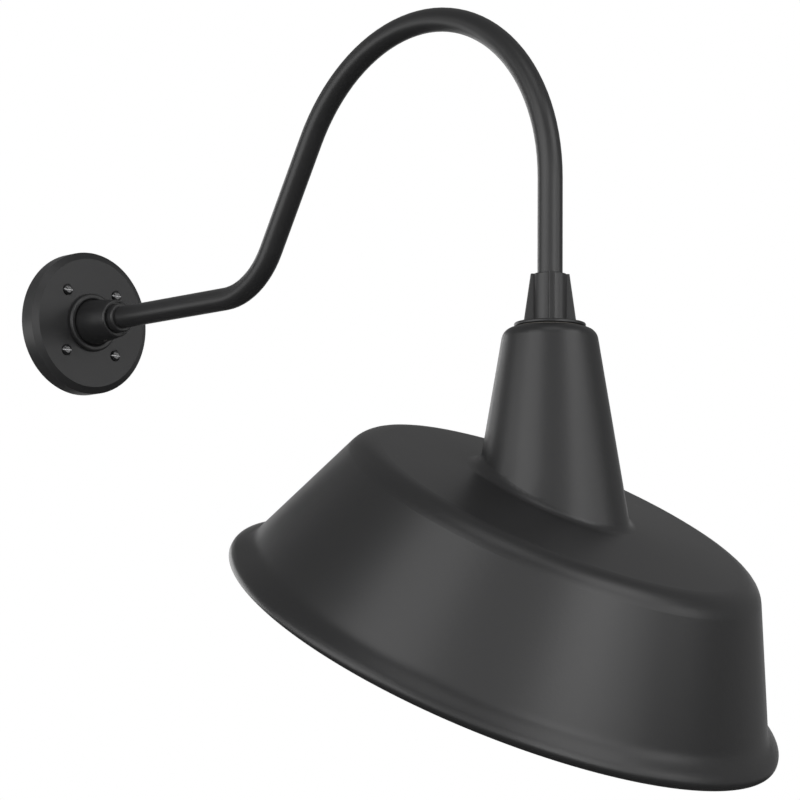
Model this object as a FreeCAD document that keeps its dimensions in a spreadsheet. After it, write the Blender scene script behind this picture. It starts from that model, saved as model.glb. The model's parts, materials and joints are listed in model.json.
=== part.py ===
"""Gooseneck wall sconce, in millimetres.

Frame: the wall is the plane Y = 0 and the arm runs out along -Y, Z is up, and the origin is the
centre of the wall plate's back, on the axis of the arm's straight run.

Pieces turned about the arm's run are drawn in a wall frame whose local Z points out of the wall.
Pieces turned about the arm's leg are drawn in a head frame that stands on the leg's axis, at the
height of the run, and is turned with the shade. Heights below the run are negative there.
"""
import FreeCAD, Part

import math
import os
import re

import Sketcher

Vector = FreeCAD.Vector
Placement = FreeCAD.Placement
Rotation = FreeCAD.Rotation
X_AXIS, Y_AXIS, Z_AXIS = Vector(1, 0, 0), Vector(0, 1, 0), Vector(0, 0, 1)

# Driving dimensions: name, value, what it is. Angles are in degrees, lengths in millimetres.
SIZES = [
    ("sliding_clearance", 0.1, "radial clearance of turning and threaded fits"),
    ("free_clearance", 0.3, "gap between pieces that move past each other"),
    ("thread_clearance", 0.15, "radial clearance of plain holes for small screws"),
    # wall plate
    ("gasket_thickness", 1.5, "foam ring behind the wall plate"),
    ("gasket_inset", 0.7, "how far the foam ring stays inside the plate's edge"),
    ("plate_radius", 62.5, "wall plate outside"),
    ("plate_depth", 16.8, "wall plate, back edge to face"),
    ("plate_wall", 4.2, "thickness of the plate's face"),
    ("plate_edge_wall", 6.2, "thickness of the plate's edge"),
    ("plate_chamfer_depth", 3.1, "chamfer along the plate's axis"),
    ("plate_chamfer_width", 5.9, "chamfer across the plate's face"),
    ("screw_circle_radius", 37.55, "circle of the four wall screws"),
    ("screw_boss_radius", 6.0, "bosses round the wall screws"),
    ("screw_radius", 2.4, "wall screw thread, which starts at the wall plane"),
    ("screw_shank_radius", 2.15, "wall screw plain shank inside the plate"),
    ("screw_hole_clearance", 0.35, "radial clearance of the wall screws in the plate"),
    ("screw_head_radius", 4.65, "wall screw head"),
    ("screw_head_height", 3.3, "wall screw head, seat to crown"),
    ("screw_head_edge", 1.1, "straight part of the head under its crown"),
    ("screw_seat_depth", 0.8, "counterbore under the head"),
    ("screw_seat_margin", 0.65, "counterbore beyond the head"),
    ("screw_slot_width", 1.0, "slot in the head"),
    ("screw_slot_depth", 1.3, "slot in the head"),
    ("screw_reach", 22.0, "how far the wall screws stand out behind the wall plane"),
    # hub
    ("hub_bead_radius", 25.5, "bead round the hub's foot, outside"),
    ("hub_bead_width", 5.4, "bead, across"),
    ("hub_bead_height", 4.4, "bead, out from the plate's face"),
    ("hub_bead_rounding", 2.0, "bead edges"),
    ("hub_groove_depth", 2.4, "groove between the bead and the hub's body, below the bead"),
    ("hub_foot_radius", 20.0, "hub body at its foot"),
    ("hub_end_radius", 16.2, "hub body at its outer end"),
    ("hub_length", 38.0, "hub, plate face to outer end"),
    ("hub_end_rounding", 1.3, "outer edge of the hub's end"),
    ("hub_recess_radius", 14.5, "recess in the hub's end"),
    ("hub_recess_depth", 1.6, "recess in the hub's end"),
    ("hub_spigot_radius", 13.0, "threaded spigot through the plate"),
    ("hub_spigot_length", 9.0, "spigot behind the plate's face"),
    ("locknut_flats", 31.0, "hub nut across its flats"),
    ("locknut_thickness", 3.6, "hub nut"),
    ("gland_radius", 12.75, "gland ring outside"),
    ("gland_reach", 7.0, "gland ring beyond the hub's end"),
    ("gland_depth", 6.0, "gland ring inside the hub's end"),
    ("gland_rounding", 1.5, "front edge of the gland ring"),
    ("seal_length", 4.0, "rubber seal behind the gland ring"),
    ("hub_screw_radius", 2.5, "set screw under the hub"),
    ("hub_screw_out", 21.0, "set screw, out from the plate's face"),
    ("hub_screw_length", 8.0, "set screw under the hub"),
    ("hub_screw_socket", 1.25, "socket in the set screw"),
    # arm
    ("arm_reach", 588.4, "wall plane to the axis of the leg"),
    ("tube_radius", 9.525, "arm tube outside"),
    ("tube_wall", 1.65, "arm tube wall"),
    ("tube_tail", 0.6, "tube past the end of the hub's spigot"),
    ("lower_bend_radius", 66.7, "centreline of the bend that starts the rise"),
    ("rise_angle", 60.0, "slope of the rise"),
    ("rise_length", 98.5, "straight part of the rise"),
    ("rear_crown_radius", 152.0, "centreline of the crown's rear part"),
    ("front_crown_radius", 146.0, "centreline of the crown's front part"),
    ("leg_drop", 58.0, "end of the leg below the run"),
    ("bushing_flange", 1.0, "flange of the two plastic rings in the tube's ends"),
    ("bushing_bore_radius", 5.8, "bore of the two plastic rings"),
    ("bushing_sleeve", 6.0, "length of the plastic rings inside the tube"),
    # leads
    ("lead_radius", 1.3, "insulated lead"),
    ("lead_offset", 3.2, "lead from the tube's centreline"),
    ("lead_bend_radius", 4.5, "lead's bend in the plate's cavity"),
    ("lead_standoff", 5.2, "lead's centre out from the wall plane inside the plate"),
    ("lead_end_drop", 84.6, "lower ends of the leads below the run"),
    ("connector_radius", 4.9, "wire connector, wide end"),
    ("connector_tip_radius", 3.2, "wire connector, closed end"),
    ("connector_length", 22.0, "wire connector"),
    ("connector_bore_depth", 14.0, "wire connector bore"),
    ("connector_grip", 6.0, "lead inside its connector"),
    ("connector_start", 18.5, "wide ends of the two connectors from the arm's axis"),
    ("ground_screw_left", 14.0, "ground screw to the left of the arm's axis"),
    ("ground_screw_down", 40.0, "ground screw below the arm's axis"),
    ("ground_screw_radius", 2.0, "ground screw shank"),
    ("ground_head_radius", 4.0, "ground screw head"),
    ("ground_head_height", 2.6, "ground screw head"),
    ("ground_boss_radius", 4.6, "boss round the ground screw"),
    ("ground_boss_height", 6.2, "boss, in from the plate's face"),
    ("ground_lead_bare", 8.0, "ground lead between its screw and its connector"),
    # fitter
    ("shade_turn", 5.0, "how far the shade is turned on the leg, as photographed"),
    ("fitter_top_drop", 25.1, "top of the fitter below the run"),
    ("fitter_radius", 12.7, "fitter core"),
    ("fitter_rounding", 0.8, "edges of the fitter"),
    ("fin_thickness", 4.4, "fins of the fitter"),
    ("fin_top_radius", 14.6, "fins at their top"),
    ("fin_foot_radius", 19.9, "fins at the flange"),
    ("fin_angle", 45.0, "first fin from the plane of the arm"),
    ("flange_radius", 27.0, "fitter flange"),
    ("flange_thickness", 3.0, "fitter flange"),
    ("flange_drop", 65.4, "underside of the flange below the run"),
    ("flange_rounding", 1.2, "edges of the flange"),
    ("fitter_spigot_radius", 11.0, "threaded spigot through the shade"),
    ("fitter_spigot_length", 11.4, "spigot below the flange"),
    ("fitter_shoulder_gap", 1.2, "tube end ring to the shoulder in the fitter"),
    ("fitter_lead_bore", 7.0, "bore of the spigot"),
    ("set_screw_radius", 2.0, "set screws of the fitter"),
    ("set_screw_stand", 1.2, "set screws beyond the fitter's core"),
    ("set_screw_drop", 42.0, "set screws below the run"),
    ("set_screw_socket", 1.0, "sockets in the set screws"),
    # shade
    ("shade_gasket_thickness", 0.6, "paper ring between flange and shade"),
    ("shade_wall", 1.5, "spun sheet"),
    ("neck_radius", 35.0, "neck of the shade at its top"),
    ("neck_slope", 9.52, "half angle of the neck's taper"),
    ("neck_rounding", 10.0, "top edge of the neck"),
    ("neck_foot_lift", 75.7, "where the neck's cone ends inside the dome, above the rim's centre"),
    ("neck_fillet", 9.0, "neck to dome"),
    ("shade_tilt", 28.3, "tilt of the dome towards the wall"),
    ("rim_offset", 44.8, "centre of the rim from the leg's axis, towards the wall"),
    ("rim_drop", 307.7, "centre of the rim below the run"),
    ("rim_radius", 219.0, "rim outside"),
    ("lip_draw", 0.8, "how much the lip draws in up to its crease"),
    ("lip_height", 7.4, "rim to crease"),
    ("crease_rounding", 7.0, "crease of the lip"),
    ("lip_root_inset", 11.6, "where the lip meets the skirt, in from the rim"),
    ("lip_root_height", 13.8, "where the lip meets the skirt, above the rim"),
    ("lip_root_rounding", 18.0, "hollow where the lip meets the skirt"),
    ("skirt_draw", 49.1, "how much the skirt draws in up to the shoulder"),
    ("shoulder_height", 119.9, "shoulder above the rim"),
    ("shoulder_rounding", 23.0, "shoulder of the dome"),
    ("cap_height", 127.6, "where the dome's shallow cone would end above the rim, on its axis"),
    # lamp holder
    ("shade_nut_flats", 36.0, "shade nut across its flats"),
    ("shade_nut_thickness", 4.5, "shade nut"),
    ("cap_gap", 2.2, "shade nut to holder cap, room for the cap's screw heads"),
    ("cap_wall", 1.2, "holder cap sheet"),
    ("cap_radius", 23.0, "holder cap outside"),
    ("cap_skirt", 14.0, "holder cap, top to open edge"),
    ("cap_rounding", 2.5, "top edge of the holder cap"),
    ("holder_radius", 20.0, "porcelain lamp holder outside"),
    ("holder_length", 48.0, "porcelain lamp holder"),
    ("holder_rounding", 2.0, "edges of the porcelain"),
    ("holder_well_radius", 12.2, "well for the leads in the porcelain's top"),
    ("holder_well_depth", 9.8, "well for the leads"),
    ("holder_web", 7.0, "porcelain between the well and the socket"),
    ("holder_screw_radius", 1.6, "screws from the cap into the porcelain"),
    ("holder_screw_circle", 16.0, "screws from the cap, from the axis"),
    ("holder_screw_length", 10.0, "screws from the cap"),
    ("holder_screw_head", 2.8, "screws from the cap, head radius"),
    ("holder_screw_head_height", 1.8, "screws from the cap, head"),
    ("terminal_head_radius", 2.8, "terminal screw head"),
    ("terminal_head_height", 2.2, "terminal screw head"),
    ("terminal_radius", 1.3, "terminal screw shank"),
    ("terminal_length", 5.0, "terminal screw shank"),
    ("shell_wall", 0.5, "screw shell sheet"),
    ("shell_length", 28.0, "screw shell"),
    ("shell_flange_bore", 8.0, "hole in the screw shell's flange"),
    ("centre_contact_radius", 4.0, "centre contact"),
    ("centre_contact_height", 1.2, "centre contact"),
    # lamp
    ("base_radius", 13.0, "lamp base"),
    ("base_length", 24.0, "lamp base shell"),
    ("base_wall", 0.4, "lamp base sheet"),
    ("insulator_height", 3.0, "glass insulator of the lamp base"),
    ("insulator_radius", 9.5, "insulator where it meets the base"),
    ("lamp_contact_radius", 4.5, "lamp's centre contact"),
    ("lamp_contact_height", 1.5, "lamp's centre contact"),
    ("glass_neck_radius", 12.4, "glass inside the base"),
    ("glass_neck_inside", 20.0, "glass inside the base"),
    ("glass_neck_below", 3.0, "straight neck of the glass below the base"),
    ("glass_radius", 33.3, "glass bulb"),
    ("glass_length", 104.0, "glass below the base"),
    ("glass_wall", 0.8, "glass bulb"),
]

# Places and sizes that follow from the driving dimensions.
DERIVED = {
    # wall frame: distances out from the wall
    "plate_face": "gasket_thickness + plate_depth",
    "plate_inside": "plate_face - plate_wall",
    "cavity_radius": "plate_radius - plate_edge_wall",
    "chamfer_start": "plate_face - plate_chamfer_depth",
    "screw_side": "screw_circle_radius * sin(45)",
    "screw_hole_radius": "screw_radius + screw_hole_clearance",
    "screw_seat": "plate_face - screw_seat_depth",
    "screw_seat_radius": "screw_head_radius + screw_seat_margin",
    "screw_crown": "screw_seat + screw_head_height",
    "bead_inner_radius": "hub_bead_radius - hub_bead_width",
    "bead_top": "plate_face + hub_bead_height",
    "groove_bottom": "bead_top - hub_groove_depth",
    "hub_end": "plate_face + hub_length",
    "spigot_end": "plate_inside - hub_spigot_length + plate_wall",
    "gland_pocket_radius": "gland_radius + sliding_clearance",
    "gland_inner_end": "hub_end - gland_depth",
    "gland_outer_end": "hub_end + gland_reach",
    "seal_end": "gland_inner_end - seal_length",
    "hub_screw_place": "plate_face + hub_screw_out",
    "tube_start": "spigot_end - tube_tail",
    "tube_bore_radius": "tube_radius - tube_wall",
    "bushing_sleeve_radius": "tube_bore_radius - sliding_clearance",
    "ground_boss_end": "plate_inside - ground_boss_height",
    # centreline of the arm
    "crown_out": "arm_reach - front_crown_radius",
    "rear_crown_rise": "rear_crown_radius * sin(rise_angle)",
    "bend_out": "crown_out - rear_crown_rise - rise_length * cos(rise_angle)"
                " - lower_bend_radius * sin(rise_angle)",
    "bend_lift": "lower_bend_radius * (1 - cos(rise_angle)) + rise_length * sin(rise_angle)",
    "crown_height": "bend_lift + rear_crown_radius * (1 - cos(rise_angle))",
    # head frame: heights below the arm's run are negative
    "fitter_top": "-fitter_top_drop",
    "flange_bottom": "-flange_drop",
    "flange_top": "flange_bottom + flange_thickness",
    "fitter_bore_radius": "tube_radius + sliding_clearance",
    "tube_end": "-leg_drop",
    "bushing_end": "tube_end - bushing_flange",
    "fitter_shoulder": "bushing_end - fitter_shoulder_gap",
    "fitter_spigot_end": "flange_bottom - fitter_spigot_length",
    "shade_hole_radius": "fitter_spigot_radius + sliding_clearance",
    "neck_top": "flange_bottom - shade_gasket_thickness",
    "neck_inside": "neck_top - shade_wall",
    "neck_foot": "neck_foot_lift - rim_drop",
    "neck_foot_radius": "neck_radius + (neck_top - neck_foot) * tan(neck_slope)",
    "lip_root_radius": "rim_radius - lip_root_inset",
    "shoulder_radius": "lip_root_radius - skirt_draw",
    "shade_nut_end": "neck_inside - shade_nut_thickness",
    "cap_top": "shade_nut_end - cap_gap",
    "holder_top": "cap_top - cap_wall",
    "holder_end": "holder_top - holder_length",
    "well_floor": "holder_top - holder_well_depth",
    "socket_top": "well_floor - holder_web",
    "shell_inner_radius": "base_radius + free_clearance",
    "shell_outer_radius": "shell_inner_radius + shell_wall",
    "socket_radius": "shell_outer_radius + thread_clearance",
    "contact_face": "socket_top - centre_contact_height",
    "terminal_circle": "lead_offset + lead_radius + free_clearance + sliding_clearance"
                       " + terminal_head_radius",
    "lamp_top": "contact_face - free_clearance",
    "insulator_top": "lamp_top - lamp_contact_height",
    "base_top": "insulator_top - insulator_height",
    "base_end": "base_top - base_length",
    "glass_start": "base_end + glass_neck_inside",
    "glass_neck_end": "base_end - glass_neck_below",
    "glass_tip": "base_end - glass_length",
}

doc = FreeCAD.newDocument("gooseneck_wall_sconce")
sheet = doc.addObject("Spreadsheet::Sheet", "Sizes")
for row, (alias, size, note) in enumerate(SIZES, start=1):
    sheet.set(f"A{row}", alias)
    sheet.set(f"B{row}", str(size))
    sheet.set(f"C{row}", note)
    sheet.setAlias(f"B{row}", alias)
doc.recompute()

ALIASES = {alias for alias, size, note in SIZES}


def bound(text):
    """The expression with every size written as its cell of the sheet."""

    def cell(match):
        word = match.group()
        if word in DERIVED:
            return f"({bound(DERIVED[word])})"
        return f"Sizes.{word}" if word in ALIASES else word

    return re.sub(r"[a-z]\w*", cell, text)


def value(text):
    """The expression's value now."""
    return float(sheet.evalExpression(bound(text)))


# Bodies -------------------------------------------------------------------------------------------


def new_body(name):
    body = doc.addObject("PartDesign::Body", name)
    body.Label = name
    body.AllowCompound = True
    return body


def wall_body(name):
    """A body whose local Z points out of the wall and whose local Y points up."""
    body = new_body(name)
    body.Placement = Placement(Vector(), Rotation(X_AXIS, 90))
    return body


def head_body(name):
    """A body on the axis of the leg, turned with the shade."""
    body = leg_body(name)
    body.Placement.Rotation = Rotation(Z_AXIS, 1)
    body.setExpression("Placement.Rotation.Angle", bound("shade_turn"))
    return body


def leg_body(name):
    """A body on the axis of the leg that stays with the arm."""
    body = new_body(name)
    body.setExpression("Placement.Base.y", bound("-arm_reach"))
    return body


def origin(body, role):
    return next(part for part in body.Origin.OriginFeatures if part.Role == role)


# Sketches -----------------------------------------------------------------------------------------


def new_sketch(body, plane, name, lift=None):
    """An empty sketch on one of the body's own planes, or lifted off it along its normal."""
    sketch = body.newObject("Sketcher::SketchObject", f"{body.Name}_{name}")
    sketch.AttachmentSupport = [(origin(body, plane), "")]
    sketch.MapMode = "FlatFace"
    if lift is not None:
        sketch.setExpression("AttachmentOffset.Base.z", bound(lift))
    return sketch


def fix(sketch, kind, geometry, point, text):
    """Binds one distance of a point from the sketch's origin to an expression."""
    index = sketch.addConstraint(Sketcher.Constraint(kind, -1, 1, geometry, point, value(text)))
    sketch.setExpression(f"Constraints[{index}]", bound(text))


def fix_radius(sketch, geometry, text):
    index = sketch.addConstraint(Sketcher.Constraint("Radius", geometry, value(text)))
    sketch.setExpression(f"Constraints[{index}]", bound(text))


def polygon(sketch, corners):
    """A closed outline with straight sides, each corner bound to its two expressions."""
    points = [Vector(value(x), value(y), 0) for x, y in corners]
    first = sketch.GeometryCount
    count = len(points)
    for start, end in zip(points, points[1:] + points[:1]):
        sketch.addGeometry(Part.LineSegment(start, end), False)
    for side in range(count):
        here, following = first + side, first + (side + 1) % count
        sketch.addConstraint(Sketcher.Constraint("Coincident", here, 2, following, 1))
    for side, (x, y) in enumerate(corners):
        fix(sketch, "DistanceX", first + side, 1, x)
        fix(sketch, "DistanceY", first + side, 1, y)


def circle(sketch, x, y, radius):
    centre = Vector(value(x), value(y), 0)
    geometry = sketch.addGeometry(Part.Circle(centre, Z_AXIS, value(radius)), False)
    fix(sketch, "DistanceX", geometry, 3, x)
    fix(sketch, "DistanceY", geometry, 3, y)
    fix_radius(sketch, geometry, radius)


def corner_arc(before, corner, after, radius):
    """Start, middle and end of the arc that rounds a corner between two straight runs."""
    arriving = (corner - before).normalize()
    leaving = (after - corner).normalize()
    turn = arriving.getAngle(leaving)
    back = radius * math.tan(turn / 2)
    inward = (leaving - arriving).normalize()
    middle = corner + inward * (radius / math.cos(turn / 2) - radius)
    return corner - arriving * back, middle, corner + leaving * back


def rectangle(sketch, left, bottom, right, top):
    polygon(sketch, [(left, bottom), (right, bottom), (right, top), (left, top)])


# Features -----------------------------------------------------------------------------------------


def feature(body, kind, name):
    return body.newObject(f"PartDesign::{kind}", f"{body.Name}_{name}")


def spin(body, sketch, name):
    """The sketch turned about its own upright axis."""
    turned = feature(body, "Revolution", name)
    turned.Profile = sketch
    turned.ReferenceAxis = (sketch, ["V_Axis"])
    turned.Angle = 360
    doc.recompute()
    return turned


def turned_outline(body, name, corners, plane="XZ_Plane"):
    """A closed outline of (radius, height) corners turned about the body's Z axis."""
    sketch = new_sketch(body, plane, f"{name}_outline")
    polygon(sketch, corners)
    return spin(body, sketch, name)


def extrude(body, sketch, name, length, cut=False, backwards=False, both_sides=False):
    """Pads or pockets a sketch by a bound length. A cut has to take something away."""
    before = body.Shape.Volume if cut else 0.0
    grown = feature(body, "Pocket" if cut else "Pad", name)
    grown.Profile = sketch
    grown.Reversed = backwards
    if both_sides:
        grown.SideType = "Symmetric"
    grown.setExpression("Length", bound(length))
    doc.recompute()
    if cut and body.Shape.Volume > before - 1e-3:
        raise RuntimeError(f"{grown.Name} takes nothing away")
    return grown


def ring_edges(shape, corners):
    """Names of the whole circles about the Z axis at the given (radius, height) corners."""
    wanted = [(value(radius), value(height)) for radius, height in corners]
    names = []
    for radius, height in wanted:
        found = [
            f"Edge{index}"
            for index, edge in enumerate(shape.Edges, start=1)
            if isinstance(edge.Curve, Part.Circle)
            and abs(edge.Curve.Radius - radius) < 1e-4
            and abs(edge.Curve.Center.z - height) < 1e-4
            and math.hypot(edge.Curve.Center.x, edge.Curve.Center.y) < 1e-4
        ]
        if not found:
            raise RuntimeError(f"no edge of radius {radius:.3f} at {height:.3f}")
        names += found
    return names


def rounding(body, name, edges, radius):
    """Rounds named edges of the body's last feature."""
    base = body.Tip
    rounded = feature(body, "Fillet", name)
    rounded.Base = (base, edges)
    rounded.setExpression("Radius", bound(radius))
    doc.recompute()
    if "Invalid" in rounded.State:
        raise RuntimeError(f"{rounded.Name} can't be rounded by {value(radius):.3f}")
    return rounded


def round_rings(body, name, corners, radius):
    return rounding(body, name, ring_edges(body.Tip.Shape, corners), radius)


def hollow_out(body, open_faces, wall):
    """Leaves a wall inside the body's last feature, open at the named faces."""
    base = body.Tip
    hollow = feature(body, "Thickness", "hollow")
    hollow.Base = (base, open_faces)
    hollow.Reversed = True
    hollow.setExpression("Value", bound(wall))
    doc.recompute()
    return hollow


def repeat(body, name, originals, turn, count):
    """Copies features about the body's Z axis."""
    pattern = feature(body, "PolarPattern", name)
    pattern.Originals = originals
    pattern.Axis = (origin(body, "Z_Axis"), [""])
    pattern.Angle = turn
    pattern.Occurrences = count
    body.Tip = pattern
    doc.recompute()
    return pattern


def mirror_to_four(body, name, originals=None):
    """Mirrors features, or without any the whole shape, across the YZ and XZ planes into four."""
    pattern = feature(body, "MultiTransform", name)
    sides = feature(body, "Mirrored", f"{name}_sides")
    sides.MirrorPlane = (origin(body, "YZ_Plane"), [""])
    heights = feature(body, "Mirrored", f"{name}_heights")
    heights.MirrorPlane = (origin(body, "XZ_Plane"), [""])
    if originals is None:
        pattern.TransformMode = "Whole shape"
    else:
        pattern.Originals = originals
    pattern.Transformations = [sides, heights]
    body.Tip = pattern
    doc.recompute()


def hexagon(sketch, flats):
    """A closed regular hexagon about the sketch's origin, flats to left and right."""
    corner = f"({flats}) / cos(30) / 2"
    polygon(sketch, [
        (f"{corner} * cos({angle})", f"{corner} * sin({angle})") for angle in range(30, 390, 60)
    ])


def hex_nut(body, flats, bore, start, end):
    """A hexagon plate between two heights with a round bore."""
    sketch = new_sketch(body, "XY_Plane", "flats", lift=start)
    hexagon(sketch, flats)
    circle(sketch, "0", "0", bore)
    extrude(body, sketch, "plate", f"({end}) - ({start})")


# Wall plate ---------------------------------------------------------------------------------------


def wall_gasket():
    body = wall_body("wall_gasket")
    outer = "plate_radius - gasket_inset"
    turned_outline(body, "ring", [
        ("cavity_radius", "0"), (outer, "0"),
        (outer, "gasket_thickness"), ("cavity_radius", "gasket_thickness"),
    ])


def wall_plate():
    """A hollow casting with four screw bosses, a ground screw boss and a hole for the hub."""
    body = wall_body("wall_plate")
    turned_outline(body, "casting", [
        ("hub_spigot_radius + thread_clearance", "plate_inside"),
        ("cavity_radius", "plate_inside"),
        ("cavity_radius", "gasket_thickness"),
        ("plate_radius", "gasket_thickness"),
        ("plate_radius", "chamfer_start"),
        ("plate_radius - plate_chamfer_width", "plate_face"),
        ("hub_spigot_radius + thread_clearance", "plate_face"),
    ])
    boss = new_sketch(body, "XY_Plane", "boss_outline", lift="gasket_thickness")
    circle(boss, "screw_side", "screw_side", "screw_boss_radius")
    bosses = extrude(body, boss, "boss", "plate_inside - gasket_thickness")
    mirror_to_four(body, "bosses", [bosses])
    ground = new_sketch(body, "XY_Plane", "ground_outline", lift="ground_boss_end")
    circle(ground, "-ground_screw_left", "-ground_screw_down", "ground_boss_radius")
    extrude(body, ground, "ground_boss", "ground_boss_height")
    thread = new_sketch(body, "XY_Plane", "ground_thread_outline", lift="ground_boss_end")
    circle(thread, "-ground_screw_left", "-ground_screw_down", "ground_screw_radius + thread_clearance")
    extrude(body, thread, "ground_thread", "ground_boss_height", cut=True, backwards=True)
    hole = new_sketch(body, "XY_Plane", "hole_outline", lift="gasket_thickness")
    circle(hole, "screw_side", "screw_side", "screw_hole_radius")
    holes = extrude(body, hole, "hole", "plate_depth", cut=True, backwards=True)
    mirror_to_four(body, "holes", [holes])
    seat = new_sketch(body, "XY_Plane", "seat_outline", lift="screw_seat")
    circle(seat, "screw_side", "screw_side", "screw_seat_radius")
    seats = extrude(body, seat, "seat", "screw_seat_depth", cut=True, backwards=True)
    mirror_to_four(body, "seats", [seats])


def plate_screws():
    """Four slotted round-head screws, their ends standing out behind the wall plane."""
    body = wall_body("plate_screws")
    head = new_sketch(body, "XY_Plane", "head_outline", lift="screw_seat")
    circle(head, "screw_side", "screw_side", "screw_head_radius")
    extrude(body, head, "head", "screw_head_height")
    crown = [
        f"Edge{index}"
        for index, edge in enumerate(body.Tip.Shape.Edges, start=1)
        if isinstance(edge.Curve, Part.Circle) and abs(edge.Curve.Center.z - value("screw_crown")) < 1e-4
    ]
    rounding(body, "crown", crown, "screw_head_height - screw_head_edge")
    shank = new_sketch(body, "XY_Plane", "shank_outline")
    circle(shank, "screw_side", "screw_side", "screw_shank_radius")
    extrude(body, shank, "shank", "screw_seat")
    thread = new_sketch(body, "XY_Plane", "thread_outline")
    circle(thread, "screw_side", "screw_side", "screw_radius")
    extrude(body, thread, "thread", "screw_reach", backwards=True)
    slot = new_sketch(body, "XY_Plane", "slot_outline", lift="screw_crown - screw_slot_depth")
    rectangle(
        slot,
        "screw_side - screw_head_radius - free_clearance",
        "screw_side - screw_slot_width / 2",
        "screw_side + screw_head_radius + free_clearance",
        "screw_side + screw_slot_width / 2",
    )
    extrude(body, slot, "slot", "screw_slot_depth + free_clearance", cut=True, backwards=True)
    mirror_to_four(body, "four")


# Hub ----------------------------------------------------------------------------------------------


def arm_hub():
    """The tapered boss with its beaded foot, its spigot through the plate and the gland's pocket."""
    body = wall_body("arm_hub")
    turned_outline(body, "turning", [
        ("tube_radius + sliding_clearance", "spigot_end"),
        ("hub_spigot_radius", "spigot_end"),
        ("hub_spigot_radius", "plate_face"),
        ("hub_bead_radius", "plate_face"),
        ("hub_bead_radius", "bead_top"),
        ("bead_inner_radius", "bead_top"),
        ("bead_inner_radius", "groove_bottom"),
        ("hub_foot_radius", "groove_bottom"),
        ("hub_end_radius", "hub_end"),
        ("hub_recess_radius", "hub_end"),
        ("hub_recess_radius", "hub_end - hub_recess_depth"),
        ("gland_pocket_radius", "hub_end - hub_recess_depth"),
        ("gland_pocket_radius", "seal_end"),
        ("tube_radius + sliding_clearance", "seal_end"),
    ])
    round_rings(body, "bead_round", [("hub_bead_radius", "bead_top"), ("bead_inner_radius", "bead_top")],
                "hub_bead_rounding")
    round_rings(body, "end_round", [("hub_end_radius", "hub_end")], "hub_end_rounding")
    screw = new_sketch(body, "XZ_Plane", "screw_hole_outline")
    circle(screw, "0", "hub_screw_place", "hub_screw_radius + sliding_clearance")
    extrude(body, screw, "screw_hole", "hub_bead_radius", cut=True, backwards=True)


def hub_locknut():
    body = wall_body("hub_locknut")
    hex_nut(body, "locknut_flats", "hub_spigot_radius + thread_clearance",
            "plate_inside - locknut_thickness", "plate_inside")


def hub_set_screw():
    """A socket set screw under the hub. Its tip bears on the tube."""
    body = new_body("hub_set_screw")
    body.setExpression("Placement.Base.y", bound("-hub_screw_place"))
    sketch = new_sketch(body, "XY_Plane", "outline", lift="-tube_radius - hub_screw_length")
    circle(sketch, "0", "0", "hub_screw_radius")
    extrude(body, sketch, "shank", "hub_screw_length")
    socket = new_sketch(body, "XY_Plane", "socket_outline", lift="-tube_radius - hub_screw_length")
    hexagon(socket, "hub_screw_socket * 2")
    extrude(body, socket, "socket", "hub_screw_socket * 2", cut=True, backwards=True)


def gland_ring():
    body = wall_body("gland_ring")
    bore = "tube_radius + sliding_clearance"
    turned_outline(body, "ring", [
        (bore, "gland_inner_end"), ("gland_radius", "gland_inner_end"),
        ("gland_radius", "gland_outer_end"), (bore, "gland_outer_end"),
    ])
    round_rings(body, "front", [("gland_radius", "gland_outer_end")], "gland_rounding")


def arm_seal():
    body = wall_body("arm_seal")
    bore = "tube_radius + sliding_clearance / 2"
    outer = "gland_pocket_radius - sliding_clearance / 2"
    turned_outline(body, "ring", [
        (bore, "seal_end"), (outer, "seal_end"), (outer, "gland_inner_end"), (bore, "gland_inner_end"),
    ])


# Arm ----------------------------------------------------------------------------------------------


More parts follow.
